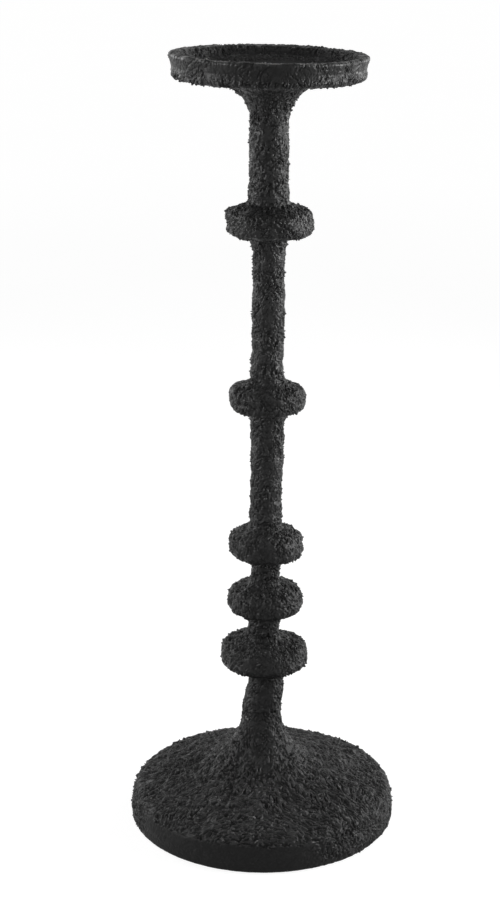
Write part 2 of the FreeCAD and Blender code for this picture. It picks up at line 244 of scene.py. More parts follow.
def rounded_path(corners):
    """Points along straight edges joined by tangent arcs, and the index of the point at each corner's middle.

    At a corner that turns by A, an arc of radius R has its centre on the bisector, R / cos(A / 2) away,
    and sweeps from -A/2 to A/2 about the direction from that centre to the corner.
    """
    points, middles = [], []
    count = 0
    for k, (r, z, rounding, _) in enumerate(corners):
        here = np.array([r, z])
        if rounding == 0:
            points.append(here[None])
            middles.append(count)
            count += 1
            continue
        back = unit(np.array(corners[k - 1][:2]) - here)
        ahead = unit(np.array(corners[k + 1][:2]) - here)
        bend = math.pi - math.acos(np.clip(back @ ahead, -1, 1))
        bisector = unit(back + ahead)
        forward = unit(ahead - back)
        centre = here + bisector * rounding / math.cos(bend / 2)
        sweep = np.linspace(-bend / 2, bend / 2, ARC_POINTS)[:, None]
        points.append(centre + rounding * (forward * np.sin(sweep) - bisector * np.cos(sweep)))
        middles.append(count + ARC_POINTS // 2)
        count += ARC_POINTS
    return np.concatenate(points), middles


class Outline:
    """A turned outline by length along it, from corners (r, z, rounding, name). Its left side is outside."""

    def __init__(self, corners):
        points, middles = rounded_path(corners)
        steps = np.hypot(*np.diff(points, axis=0).T)
        along = np.concatenate([[0], np.cumsum(steps)])
        self.mark = {corner[3]: along[k] for corner, k in zip(corners, middles) if corner[3]}
        self.length = along[-1]
        self.s = np.arange(0, self.length + OUTLINE_STEP, OUTLINE_STEP)
        self.r = np.interp(self.s, along, points[:, 0])
        self.z = np.interp(self.s, along, points[:, 1])
        tangent_r = np.gradient(self.r, self.s)
        tangent_z = np.gradient(self.z, self.s)
        size = np.hypot(tangent_r, tangent_z) + 1e-9
        self.normal_r = tangent_z / size
        self.normal_z = -tangent_r / size

    def at(self, s, values):
        return np.interp(s, self.s, values)

    def beneath(self, s, depth):
        """(r, z) that far under the outline."""
        return (self.at(s, self.r) - depth * self.at(s, self.normal_r),
                self.at(s, self.z) - depth * self.at(s, self.normal_z))

    def turned(self, s, turn):
        """Points of the outline turned about Z, as float32."""
        r, z = self.at(s, self.r), self.at(s, self.z)
        return np.stack(np.broadcast_arrays(r * np.cos(turn), r * np.sin(turn), z), -1).astype(np.float32)

    def between(self, s, table):
        """Columns of a table of (mark, millimetres past it, value, value ...), read between its places."""
        places = [self.mark[name] + past for name, past, *_ in table]
        return [np.interp(s, places, column)[:, None] for column in zip(*(row[2:] for row in table))]

    def where_radius(self, radius, after, before):
        """Length along the outline at which its radius passes a value, between two lengths."""
        inside = (self.s > after) & (self.s < before)
        nearest = np.argmin(np.abs(self.r[inside] - radius))
        return self.s[inside][nearest]


def candlestick_corners():
    """The outline from the base's lower edge up to the cup's floor."""
    side = BASE_HIGH[0]
    radii = [high[0] - flare for (low, high), flare in zip(STEMS, STEM_FLARES)] + [STEMS[-1][1][0]]
    path = [
        (BOARD_HIGH[0] + GLUE_LINE, BASE_LOW[2], 0, "base_start"),
        (side, BASE_LOW[2], BASE_BOTTOM_ROUNDING, "base_bottom"),
        (side, BASE_EDGE_HEIGHT, BASE_EDGE_ROUNDING, "base_edge"),
        (radii[0], BASE_CONE_HEIGHT, BASE_FLARE, "base_sweep"),
        (radii[0], BASE_HIGH[2], 0, "base_top")]
    for k, (low, high) in enumerate(RINGS):
        foot, top, neck = low[2], high[2] - RING_NECK_HEIGHT, radii[k + 1]
        flare = min(STEM_FLARE_HEIGHT, (foot - STEMS[k][0][2]) / 2)
        path += [
            (radii[k], foot - flare, flare, ""),
            (radii[k] + STEM_FLARES[k], foot, UNDER_RING_FILLET, f"ring_{k + 1}_foot"),
            (high[0], foot, RING_LOWER_ROUNDINGS[k], f"ring_{k + 1}_low"),
            (high[0], top, RING_UPPER_ROUNDINGS[k], f"ring_{k + 1}_edge"),
            (neck, top + RING_TOP_RISE, RING_NECK_FILLET, f"ring_{k + 1}_neck"),
            (neck, high[2], 0, f"ring_{k + 1}_top")]
    lip, crest = RIM_HIGH[0], RIM_HIGH[2]
    under = CUP_LOW[2] + CUP_FLARE_HEIGHT
    path += [
        (radii[-1], CUP_LOW[2], 0, "cup_low"),
        (radii[-1], under, CUP_FLARE, ""),
        (lip - CUP_WALL_FLARE, under + CUP_UNDERSIDE_RISE, CUP_BOTTOM_ROUNDING, "cup_foot"),
        (lip, crest, LIP_ROUNDING, "lip_outside"),
        (lip - LIP_WIDTH, crest, LIP_ROUNDING, "lip_inside"),
        (PLATE_HIGH[0] + PLATE_CLEARANCE, PLATE_LOW[2] + GLUE_LINE, 0, "cup_floor")]
    return path


def crust_corners():
    """The outline of the pulp crust on the candle plate: over its lip and in towards its middle."""
    edge, lip = PLATE_HIGH[0], PLATE_HIGH[2]
    floor = PLATE_LOW[2] + PLATE_THICKNESS
    inside = edge - PLATE_THICKNESS
    return [
        (edge + CRUST_COVER, lip - CRUST_DROP, 0, "crust_outside"),
        (edge + CRUST_COVER, lip + CRUST_RISE, CRUST_LIP_ROUNDING, ""),
        (inside - CRUST_INSIDE, lip + CRUST_RISE, CRUST_LIP_ROUNDING, "crust_crest"),
        (inside - CRUST_FOOT_RUN, floor + CRUST_FOOT_RISE, CRUST_FOOT_ROUNDING, "crust_foot"),
        (CRUST_RADIUS + CRUST_FADE_RUN, floor + CRUST_FADE_RISE, 0, "crust_fade"),
        (CRUST_RADIUS, floor - CRUST_END_DEPTH, 0, "crust_end")]


def ripples(place, wavelength, seed, waves=20):
    """Smooth noise of unit spread: cosine waves of about that wavelength, in random directions, added up."""
    draw = np.random.default_rng(seed)
    ways = draw.normal(size=(waves, 3))
    ways *= (TURN / wavelength / draw.uniform(0.7, 1.5, waves) / np.linalg.norm(ways, axis=1))[:, None]
    shifts = draw.uniform(0, TURN, waves)
    total = np.zeros(place.shape[:-1], np.float32)
    for way, shift in zip(ways, shifts):
        total += np.cos(place @ way.astype(np.float32) + np.float32(shift))
    return total * math.sqrt(2 / waves)


def step_between(low, high, value):
    """Smooth step from 0 at low to 1 at high."""
    t = np.clip((value - low) / (high - low), 0, 1)
    return t * t * (3 - 2 * t)


def candlestick_lay(outline, s, turn):
    """Mean angle of the bits from the direction round the axis, its spread, and how far they are drawn out.

    On the base's cone they lie along one direction in plan at its left and another at its right, so that
    the angle is plan - turn - 90 degrees there. Everywhere else they run up the outline, less steeply on the
    cup's wall. They are long and lie in order on the cone, less so on the wall, and are short and lie anyhow
    elsewhere.
    """
    mark = outline.mark
    on_right = np.clip(0.5 + 0.9 * np.cos(turn), 0, 1)
    plan = math.radians(CONE_LEFT_PLAN) * (1 - on_right) - math.radians(CONE_RIGHT_PLAN) * on_right
    swept = plan - turn - TURN / 4
    on_wall = step_between(mark["cup_foot"] - 4, mark["cup_foot"], s)
    upward = math.radians(STEEP) - math.radians(WALL_LESS_STEEP) * on_wall
    on_cone = ((s > mark["base_edge"]) & (s < mark["base_top"])).astype(float)
    on_cone *= step_between(*CONE_RADII, outline.at(s, outline.r))
    across = on_cone * np.cos(2 * swept) + (1 - on_cone) * np.cos(2 * upward)
    along = on_cone * np.sin(2 * swept) + (1 - on_cone) * np.sin(2 * upward)
    wander = math.radians(LAY_WANDER) * ripples(outline.turned(s, turn), LAY_WAVE, SEED + 1)
    angle = np.arctan2(along, across) / 2 + wander
    ordered = np.maximum(on_cone, WALL_ORDER * on_wall)
    return angle, LOOSE_SPREAD - ORDERED_LESS * ordered, SHORTEST + ORDERED_LONGER * ordered


def crust_lay(outline, s, turn):
    """The same for the crust: one angle that wanders, an even spread, and short bits."""
    wander = math.radians(CRUST_WANDER) * ripples(outline.turned(s, turn), CRUST_WAVE, SEED + 5)
    angle = math.radians(CRUST_LAY) + wander
    return angle, np.full(len(s), 0.8), np.full(len(s), 0.5)


def candlestick_smoothing_and_light(outline, s, turn, place):
    """Share of the relief that is rubbed smooth, which also darkens the paint there as a painted shade, and
    how far the paint is lightened, as wear and as a painted highlight.

    Smooth are the front and back of the base's side up to an uneven line, the fronts of stem, rings and cup,
    those of the lowest stem and the three lowest rings more than the rest, and the back of the cup's inner
    wall. Lightened in stretches are the cup's lip, most along its outer edge, worn and with a painted
    highlight on its crest, and the front of the highest ring's lower edge, as a painted highlight.
    """
    mark = outline.mark
    front = step_between(*FRONT_BAND, -np.sin(turn))
    bare = 1 - step_between(*ROUGH_RIGHT_BAND, np.cos(turn)) - step_between(*ROUGH_LEFT_BAND, -np.cos(turn))
    line = mark["base_edge"] - 1.0 + 0.7 * ripples(place, RUBBED_WAVE, SEED + 7)
    smooth = SIDE_SMOOTH * bare * step_between(0.7, -0.7, s - line)
    low = step_between(mark["ring_1_foot"], mark["ring_1_foot"] - 4, s)
    for k in range(1, 4):
        foot, edge = mark[f"ring_{k}_low"], mark[f"ring_{k}_edge"]
        low = low + step_between(foot - 6, foot - 2, s) * step_between(edge + 3, edge - 2, s)
    above = step_between(mark["base_sweep"] - 14, mark["base_sweep"], s)
    above = above * step_between(mark["lip_outside"], mark["lip_outside"] - 2, s)
    above = above * step_between(2, 5, np.abs(s - mark["cup_foot"]))
    # Smoothing on the fronts also darkens the paint there, a painted shade
    smooth = smooth + front * above * (FRONT_SMOOTH + LOW_SMOOTH * low)
    back = step_between(*BACK_BAND, np.sin(turn))
    smooth = smooth + INSIDE_SMOOTH * back * step_between(mark["lip_inside"] + 1, mark["lip_inside"] + 3, s)
    crest = step_between(mark["lip_outside"] - 1.2, mark["lip_outside"], s)
    crest = crest * step_between(mark["lip_inside"] + 0.8, mark["lip_inside"], s)
    line = step_between(0.9, 0.4, np.abs(s - mark["lip_outside"]))
    # Painted highlight along the front of ring 5's lower edge
    ring_highlight = step_between(0.9, 0.3, np.abs(s - mark["ring_5_low"])) * front
    stretches = step_between(-0.9, 0.5, ripples(place, RUBBED_WAVE, SEED + 8))
    return smooth, stretches * (LIP_WEAR_AND_HIGHLIGHT * crest + (1 - LIP_WEAR_AND_HIGHLIGHT) * line + RING_HIGHLIGHT * ring_highlight)


def crust_smoothing_and_light(outline, s, turn, place):
    """The same for the crust: nothing is smoothed, shaded or lightened."""
    return np.zeros(place.shape[:-1]), np.zeros(place.shape[:-1])


class Bits:
    """Bits of one kind, as discs along short curved paths on a turned outline.

    They are spread evenly over the area. A path starts at (turn, s), runs at an angle from the direction
    round the axis, and bends by its curl. Each disc has a place, a half width, a level, a crest, a slope
    across the path and its bit's tone.
    """

    def __init__(self, outline, lay, draw, cover, lengths, widths, levels, crests, lift, lean):
        self.outline = outline
        area = np.cumsum(TURN * outline.r) * OUTLINE_STEP
        mean_area = np.mean(lengths) * 2 * np.mean(widths) + math.pi * np.mean(widths) ** 2
        count = int(cover * area[-1] / mean_area)
        s = np.interp(draw.uniform(0, area[-1], count), area, outline.s)
        turn = draw.uniform(0, TURN, count)
        angle, spread, drawn_out = lay(outline, s, turn)
        angle = angle + spread * draw.normal(0, 1, count)
        length, width = drawn_out * draw.uniform(*lengths, count), draw.uniform(*widths, count)
        level, crest = draw.uniform(*levels, count), draw.uniform(*crests, count)
        tilt, slope = draw.uniform(-lift, lift, count), draw.uniform(-lean, lean, count)
        curl = draw.normal(0, 0.12, count)
        tone = draw.integers(0, TONES, count)
        t = np.linspace(-0.5, 0.5, PATH_STEPS)
        run = length[:, None] * t
        bow = 0.5 * curl[:, None] * run ** 2
        cosine, sine = np.cos(angle)[:, None], np.sin(angle)[:, None]
        disc_s = s[:, None] + run * sine + bow * cosine
        radius = outline.at(np.clip(disc_s, 0, outline.length), outline.r)
        disc_turn = turn[:, None] + (run * cosine - bow * sine) / radius
        self.s, self.turn, self.width, self.level, self.crest, self.slope_s, self.slope_turn, self.tone = (
            np.broadcast_to(values, disc_s.shape).ravel() for values in (
                disc_s, disc_turn, width[:, None] * (1 - 0.35 * np.abs(2 * t) ** 3),
                level[:, None] + tilt[:, None] * 2 * t, crest[:, None],
                slope[:, None] * cosine, -slope[:, None] * sine, tone[:, None]))


def heap_up(kinds, s, columns):
    """Height of a heap of bits over its bed at each grid point, and the tone of the bit on top.

    The height is the highest of level + slope * offset + crest * (1 - d^2 / width^2)^0.4 of the discs that
    reach the point, d being the distance on the surface. Height and tone are compared as one whole number.
    """
    outline = kinds[0].outline
    rows = len(s)
    pitch, step = s[1] - s[0], TURN / columns
    radius = outline.at(np.clip(s, 0, outline.length), outline.r)
    keys = np.full(rows * columns, round(HEIGHT_OFFSET * HEIGHT_STEPS) * TONES, np.int64)
    for kind in kinds:
        most = kind.width.max()
        near = (kind.s > s[0] - most) & (kind.s < s[-1] + most)
        disc = {name: getattr(kind, name)[near] for name in (
            "s", "turn", "width", "level", "crest", "slope_s", "slope_turn", "tone")}
        row = np.rint((disc["s"] - s[0]) / pitch).astype(int)
        column = np.rint(disc["turn"] / step).astype(int)
        reach = math.ceil(most / pitch)
        for up in range(-reach, reach + 1):
            away = (row + up) * pitch + s[0] - disc["s"]
            kept = (row + up >= 0) & (row + up < rows) & (np.abs(away) < disc["width"])
            if not kept.any():
                continue
            at_row, at_column, away = (row + up)[kept], column[kept], away[kept]
            part = {name: values[kept] for name, values in disc.items()}
            round_by = math.ceil(most / (radius[at_row].min() * step))
            for over in range(-round_by, round_by + 1):
                beside = radius[at_row] * ((at_column + over) * step - part["turn"])
                inside = 1 - (away ** 2 + beside ** 2) / part["width"] ** 2
                hit = inside > 0
                value = (part["level"] + part["slope_s"] * away + part["slope_turn"] * beside)[hit]
                value += part["crest"][hit] * inside[hit] ** 0.4
                key = np.rint((value + HEIGHT_OFFSET) * HEIGHT_STEPS).astype(np.int64) * TONES
                key += part["tone"][hit]
                np.maximum.at(keys, at_row[hit] * columns + (at_column[hit] + over) % columns, key)
    height = (keys // TONES) / HEIGHT_STEPS - HEIGHT_OFFSET
    tone = (keys % TONES) / (TONES - 1)
    return height.reshape(rows, columns).astype(np.float32), tone.reshape(rows, columns).astype(np.float32)


class Pulp:
    """The relief on one outline: chips, fibres, crumbs and nubs heaped up, and pits sunk between them."""

    def __init__(self, outline, lay, relief, stray, rubbed, seed):
        draw = np.random.default_rng(seed)
        self.outline, self.relief, self.stray, self.rubbed = outline, relief, stray, rubbed
        # Share of the area, length, half width, level, crest, lift at one end and slope across
        self.raised = [Bits(outline, lay, draw, *sizes) for sizes in (
            (0.80, (2.5, 6.5), (0.80, 1.50), (0.0, 0.45), (0.15, 0.30), 0.30, 0.25),
            (1.00, (1.0, 3.6), (0.40, 0.80), (0.1, 0.75), (0.18, 0.38), 0.35, 0.45),
            (0.22, (2.5, 7.5), (0.26, 0.42), (0.4, 0.9), (0.25, 0.40), 0.25, 0.0),
            (0.20, (0.0, 0.7), (0.35, 0.65), (0.2, 0.8), (0.30, 0.60), 0.0, 0.6),
            (0.06, (0.0, 1.6), (0.30, 0.46), (0.8, 1.5), (0.40, 0.75), 0.3, 0.0))]
        pits = (0.28, (1.5, 5.0), (0.28, 0.46), (0.25, 0.65), (0.7, 1.2), 0.2, 0.0)
        self.sunk = [Bits(outline, lay, draw, *pits)]

    def surface(self, start, end, rows, columns):
        """Points of a rough coat on a grid of length along the outline by turn, its relief and its tones.

        Each point is the outline's, moved along its normal by
        share * (1 - smooth) * (lumps + rough * (heap - sink)), but not below the thinnest coat, and by swell,
        then swayed to the right and tipped. The paint's values are lower where the relief is low and where
        smooth, as a painted shade, and higher where worn and where a highlight is painted on the lip and ring
        5's front edge.
        """
        outline = self.outline
        ghost = 2
        pitch = (end - start) / (rows - 1)
        s = start + pitch * np.arange(-ghost, rows + ghost)
        turn = TURN * np.arange(columns) / columns
        heap, tone = heap_up(self.raised, s, columns)
        pits, _ = heap_up(self.sunk, s, columns)
        heap = softened(np.maximum(heap - pits, DEEPEST), SOFTENING)[ghost:-ghost]
        s = np.clip(s[ghost:-ghost], 0, outline.length)
        place = outline.turned(s[:, None], turn[None, :])
        (small, small_wave), (large, large_wave) = SMALL_LUMPS, LARGE_LUMPS
        lumps = small * ripples(place, small_wave, SEED + 2) + large * ripples(place, large_wave, SEED + 3)
        share, least = outline.between(s, self.relief)
        sway, rise, swell = outline.between(s, self.stray)
        rough = least + (1 - least) * step_between(*ROUGH_BAND, ripples(place, ROUGH_WAVE, SEED + 4))
        smooth, wear_and_highlight = self.rubbed(outline, s[:, None], turn, place)
        relief = rough * (heap - PULP_SINK) * (1 - smooth)
        lift = np.maximum(share * (lumps * (1 - smooth) + relief), -THINNEST) + swell
        r = outline.at(s, outline.r)[:, None] + outline.at(s, outline.normal_r)[:, None] * lift
        z = outline.at(s, outline.z)[:, None] + outline.at(s, outline.normal_z)[:, None] * lift
        x, y = r * np.cos(turn) + sway, r * np.sin(turn)
        points = np.stack([x, y, z + rise * x], -1)
        # Painted shade in pits and smoothed places, and painted highlight on the lip and ring 5's front edge
        heap = np.minimum(share, MOST_SHARE) * (PULP_SINK * (1 - smooth ** 2) + relief) + wear_and_highlight
        tone = np.maximum(tone[ghost:-ghost] * (1 - smooth / 2), wear_and_highlight)
        return points, {"pulp_heap": heap, "pulp_tone": tone}


def softened(height, share):
    """Each point mixed with its neighbours along rows and columns, as thick paint fills corners."""
    round_about = np.roll(height, 1, 1) + np.roll(height, -1, 1)
    height = (1 - share) * height + share / 2 * round_about
    padded = np.pad(height, ((1, 1), (0, 0)), mode="edge")
    return (1 - share) * height + share / 2 * (padded[:-2] + padded[2:])


def turned_rows(profile, columns):
    """Rows of points from a list of (r, z), turned about Z."""
    turn = TURN * np.arange(columns) / columns
    r, z = np.array(profile, float).T
    z = np.broadcast_to(z[:, None], (len(r), columns))
    return np.stack([r[:, None] * np.cos(turn), r[:, None] * np.sin(turn), z], -1)


def ring_mesh(name, grid, smooth_rows, strips, attributes):
    """Mesh of a grid of points that closes on itself both along its rows and round its columns.

    Quad (i, j) joins rows i and i + 1 and columns j and j + 1, both counted round. Its map is cut into
    strips, stacked one above the other, so that each is about as long as it is wide.
    """
    rows, columns, _ = grid.shape
    i, j = np.meshgrid(np.arange(rows), np.arange(columns), indexing="ij")
    up, beside = (i + 1) % rows, (j + 1) % columns
    quads = np.stack([i * columns + j, i * columns + beside, up * columns + beside, up * columns + j], -1)
    mesh = bpy.data.meshes.new(name)
    mesh.vertices.add(rows * columns)
    mesh.vertices.foreach_set("co", (grid * MM).astype(np.float32).ravel())
    mesh.loops.add(quads.size)
    mesh.loops.foreach_set("vertex_index", quads.astype(np.int32).ravel())
    mesh.polygons.add(rows * columns)
    mesh.polygons.foreach_set("loop_start", np.arange(0, quads.size, 4, dtype=np.int32))
    mesh.polygons.foreach_set("use_smooth", (i < smooth_rows - 1).ravel())
    mesh.update(calc_edges=True)
    gaps = np.linalg.norm(np.roll(grid, -1, 0) - grid, axis=-1).mean(1)
    along = np.concatenate([[0], np.cumsum(gaps)]) / gaps.sum()
    per_strip = columns // strips
    strip, across = j // per_strip, (j % per_strip) / per_strip
    margin = 0.01
    u = np.stack([across, across + 1 / per_strip, across + 1 / per_strip, across], -1)
    v = np.stack([along[i], along[i], along[i + 1], along[i + 1]], -1)
    v = (strip[..., None] + margin + (1 - 2 * margin) * v) / strips
    uv = np.stack([margin / strips + (1 - 2 * margin / strips) * u, v], -1)
    mesh.uv_layers.new(name="OFBake").data.foreach_set("uv", uv.astype(np.float32).ravel())
    for label, values in attributes.items():
        padded = np.zeros((rows, columns), np.float32)
        padded[:smooth_rows] = values
        mesh.attributes.new(label, "FLOAT", "POINT").data.foreach_set("value", padded.ravel())
    mesh.validate()
    piece = bpy.data.objects.new(name, mesh)
    bpy.context.scene.collection.objects.link(piece)
    return piece


class Shade:
    """A value in a node tree. Arithmetic on it adds Math nodes."""

    def __init__(self, finish, socket):
        self.finish, self.socket = finish, socket

    def math(self, operation, first, second=0.0):
        return self.finish.add("ShaderNodeMath", {"operation": operation}, {0: first, 1: second})

    def __add__(self, other):
        return self.math("ADD", self, other)

    def __sub__(self, other):
        return self.math("SUBTRACT", self, other)

    def __mul__(self, other):
        return self.math("MULTIPLY", self, other)

    def __truediv__(self, other):
        return self.math("DIVIDE", self, other)

    def __pow__(self, other):
        return self.math("POWER", self, other)

    def __radd__(self, other):
        return self.math("ADD", other, self)

    def __rsub__(self, other):
        return self.math("SUBTRACT", other, self)

    def __rmul__(self, other):
        return self.math("MULTIPLY", other, self)

    def __rtruediv__(self, other):
        return self.math("DIVIDE", other, self)


class Finish:
    """One procedural material. add() makes a node, sets it up and returns one of its outputs."""

    def __init__(self, name, owner=None):
        self.material = owner or bpy.data.materials.new(name)
        self.material.use_nodes = True
        self.tree = self.material.node_tree
        self.tree.nodes.clear()

    def add(self, kind, settings=None, sockets=None, out=0):
        node = self.tree.nodes.new(kind)
        for key, value in (settings or {}).items():
            if key == "stops":
                self.set_stops(node.color_ramp, value)
            else:
                setattr(node, key, value)
        for key, value in (sockets or {}).items():
            if isinstance(value, Shade):
                self.tree.links.new(value.socket, node.inputs[key])
            else:
                node.inputs[key].default_value = value
        return Shade(self, node.outputs[out]) if node.outputs else None

    @staticmethod
    def set_stops(ramp, stops):
        while len(ramp.elements) < len(stops):
            ramp.elements.new(1.0)
        for element, (position, colour) in zip(ramp.elements, stops):
            element.position, element.color = position, (*colour, 1)

    def place(self):
        return self.add("ShaderNodeTexCoord", out="Object")

    def noise(self, place, size, detail=3.0, roughness=0.55):
        """Noise with features of about that size in millimetres."""
        return self.add("ShaderNodeTexNoise", {}, {
            "Vector": place, "Scale": 1 / (size * MM), "Detail": detail, "Roughness": roughness})

    def ramp(self, value, stops):
        return self.add("ShaderNodeValToRGB", {"stops": stops}, {0: value})

    def mix(self, share, first, second):
        return self.add("ShaderNodeMix", {"data_type": "RGBA"}, {0: share, 6: first, 7: second}, out=2)

    def bump(self, height, strength, depth):
        """Normal for a height map that is that many millimetres deep."""
        return self.add("ShaderNodeBump", {}, {
            "Height": height, "Strength": strength, "Distance": depth * MM})

    def surface(self, **sockets):
        """Ends the tree in a Principled BSDF. The sockets' words are joined by underscores."""
        named = {key.replace("_", " "): value for key, value in sockets.items()}
        shader = self.add("ShaderNodeBsdfPrincipled", {}, named)
        self.add("ShaderNodeOutputMaterial", {}, {"Surface": shader})
        return self.material


def pulp_finish(name, level, specular, coat):
    """Matt black paint over paper pulp: darker in the pits and where smoothed, as a painted shade, greyer on
    some chips, worn through on a few, and lightened along the lip and ring 5's front edge as a painted
    highlight.
    """
    finish = Finish(name)
    place = finish.place()
    heap = finish.add("ShaderNodeAttribute", {"attribute_name": "pulp_heap"}, out="Fac")
    tone = finish.add("ShaderNodeAttribute", {"attribute_name": "pulp_tone"}, out="Fac")
    grain = finish.noise(place, 0.55, 4.0, 0.6)
    patches = finish.noise(place, 14.0, 3.0)
    # Painted shade: the colour darkens with the pits and where the relief is low or smoothed
    depth = heap * 0.62 + tone * 0.15 + grain * 0.10 + patches * 0.2 - 0.155
    colour = finish.ramp(depth, [
        (0.0, (0.01 * level,) * 3), (0.35, (0.018 * level,) * 3),
        (0.75, (0.034 * level,) * 3), (1.0, (0.055 * level,) * 3)])
    # Lightest paint on worn chips, and a painted highlight along the lip and ring 5's front edge
    worn_and_highlight = finish.ramp(tone, [(0.985, (0.0, 0.0, 0.0)), (0.99, (1.0, 1.0, 1.0))])
    colour = finish.mix(worn_and_highlight, colour, (0.15 * level, 0.148 * level, 0.145 * level, 1))
    roughness = 0.45 - heap * 0.06 + patches * 0.10 - tone * 0.10
    fine = finish.noise(place, 0.35, 3.0, 0.65)
    polished = finish.ramp(heap * 0.75 + tone * 0.35 - 0.2, [(0.1, (0, 0, 0)), (0.8, (1, 1, 1))]) * coat
    return finish.surface(Base_Color=colour, Roughness=roughness, Specular_IOR_Level=specular,
                          Coat_Weight=polished, Coat_Roughness=0.3,
                          Normal=finish.bump(fine, 0.2, 0.2))


def black_plate_finish():
    """Matt black paint on pressed steel, with faint ripples and rubbed patches. Its black is painted lighter
    than the pulp's, a painted light that makes up for the shade inside the cup.
    """
    finish = Finish("black_plate")
    place = finish.place()
    ripple = finish.noise(place, 1.4, 2.0)
    rubbed = finish.noise(place, 22.0, 4.0, 0.6)
    # Painted light: greys lighter than the pulp's paint, against the shade inside the cup
    colour = finish.ramp(rubbed, [(0.3, (0.047, 0.047, 0.048)), (0.7, (0.070, 0.070, 0.070))])
    return finish.surface(Base_Color=colour, Roughness=0.55 + rubbed * 0.2, Specular_IOR_Level=0.0,
                          Normal=finish.bump(ripple, 0.2, 0.2))


def turned_wood_finish():
    """Pale turned wood: long grain along Z, with fine pores."""
    finish = Finish("turned_wood")
    place = finish.add("ShaderNodeMapping", {}, {"Vector": finish.place(), "Scale": (1, 1, 0.08)})
    grain = finish.noise(place, 3.0, 5.0, 0.6)
    pores = finish.noise(place, 0.6, 3.0)
    colour = finish.ramp(grain, [(0.25, (0.36, 0.22, 0.11)), (0.75, (0.58, 0.40, 0.23))])
    return finish.surface(Base_Color=colour, Roughness=0.5 + pores * 0.25,
                          Normal=finish.bump(pores, 0.2, 0.2))


def fibre_board_finish(name, bare):
    """Brown fibre board: fine specks without direction. Further out than a radius it is painted black."""
    finish = Finish(name)
    place = finish.place()
    specks = finish.noise(place, 0.9, 5.0, 0.7)
    colour = finish.ramp(specks, [(0.3, (0.20, 0.13, 0.075)), (0.7, (0.34, 0.24, 0.15))])
    flat = finish.add("ShaderNodeVectorMath", {"operation": "MULTIPLY"}, {0: place, 1: (1, 1, 0)})
    radius = finish.add("ShaderNodeVectorMath", {"operation": "LENGTH"}, {0: flat}, out="Value")
    painted = finish.ramp(radius - bare * MM + 0.5, [(0.499, (0.0, 0.0, 0.0)), (0.501, (1.0, 1.0, 1.0))])
    colour = finish.mix(painted, colour, (0.02, 0.02, 0.02, 1))
    return finish.surface(Base_Color=colour, Roughness=0.7 + specks * 0.2,
                          Normal=finish.bump(specks, 0.2, 0.2))


def ply_strip_finish():
    """Bent ply: thin layers one above the other, streaked round the hoop."""
    finish = Finish("ply_strip")
    place = finish.add("ShaderNodeMapping", {}, {"Vector": finish.place(), "Scale": (0.15, 0.15, 1)})
    streaks = finish.noise(place, 1.2, 4.0, 0.6)
    colour = finish.ramp(streaks, [(0.3, (0.42, 0.28, 0.15)), (0.7, (0.62, 0.45, 0.27))])
    return finish.surface(Base_Color=colour, Roughness=0.55 + streaks * 0.2,
                          Normal=finish.bump(streaks, 0.15, 0.2))


def zinc_steel_finish():
    """Zinc-plated steel: fine drawn lines along Z and a cloudy lustre."""
    finish = Finish("zinc_steel")
    place = finish.place()
    drawn = finish.add("ShaderNodeMapping", {}, {"Vector": place, "Scale": (1, 1, 0.05)})
    lines = finish.noise(drawn, 0.4, 3.0)
    clouds = finish.noise(place, 5.0, 3.0)
    colour = finish.ramp(clouds, [(0.3, (0.50, 0.51, 0.53)), (0.7, (0.66, 0.66, 0.66))])
    return finish.surface(Base_Color=colour, Metallic=1.0, Roughness=0.26 + lines * 0.2,
                          Normal=finish.bump(lines, 0.1, 0.1))


def black_felt_finish():
    """Pressed black felt: matted short hairs and soft clouds."""
    finish = Finish("black_felt")
    place = finish.place()
    hairs = finish.noise(place, 0.5, 6.0, 0.75)
    clouds = finish.noise(place, 8.0, 3.0)
    colour = finish.ramp(hairs * 0.7 + clouds * 0.3, [
        (0.3, (0.007, 0.007, 0.008)), (0.7, (0.024, 0.024, 0.026))])
    return finish.surface(Base_Color=colour, Roughness=0.9 + hairs * 0.1, Normal=finish.bump(hairs, 0.6, 0.4))


def rows_for(length, columns):
    """Rows at the grid's pitch, or as many as the most quads allow."""
    return int(min(length / ROW_PITCH, MOST_QUADS / columns))


def pulp_piece(pulp, finish, name, nodes, start, end, columns, strips, lining, body=STAND):
    """One rough coat, or part of one, closed by the lining that lies on the core behind it."""
    rows = rows_for(end - start, columns)
    points, attributes = pulp.surface(start, end, rows, columns)
    grid = np.concatenate([points, turned_rows(lining, columns)])
    piece = ring_mesh(name, grid, rows, strips, attributes)
    piece.data.materials.append(finish)
    if nodes:
        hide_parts(*nodes)
    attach(piece, body)


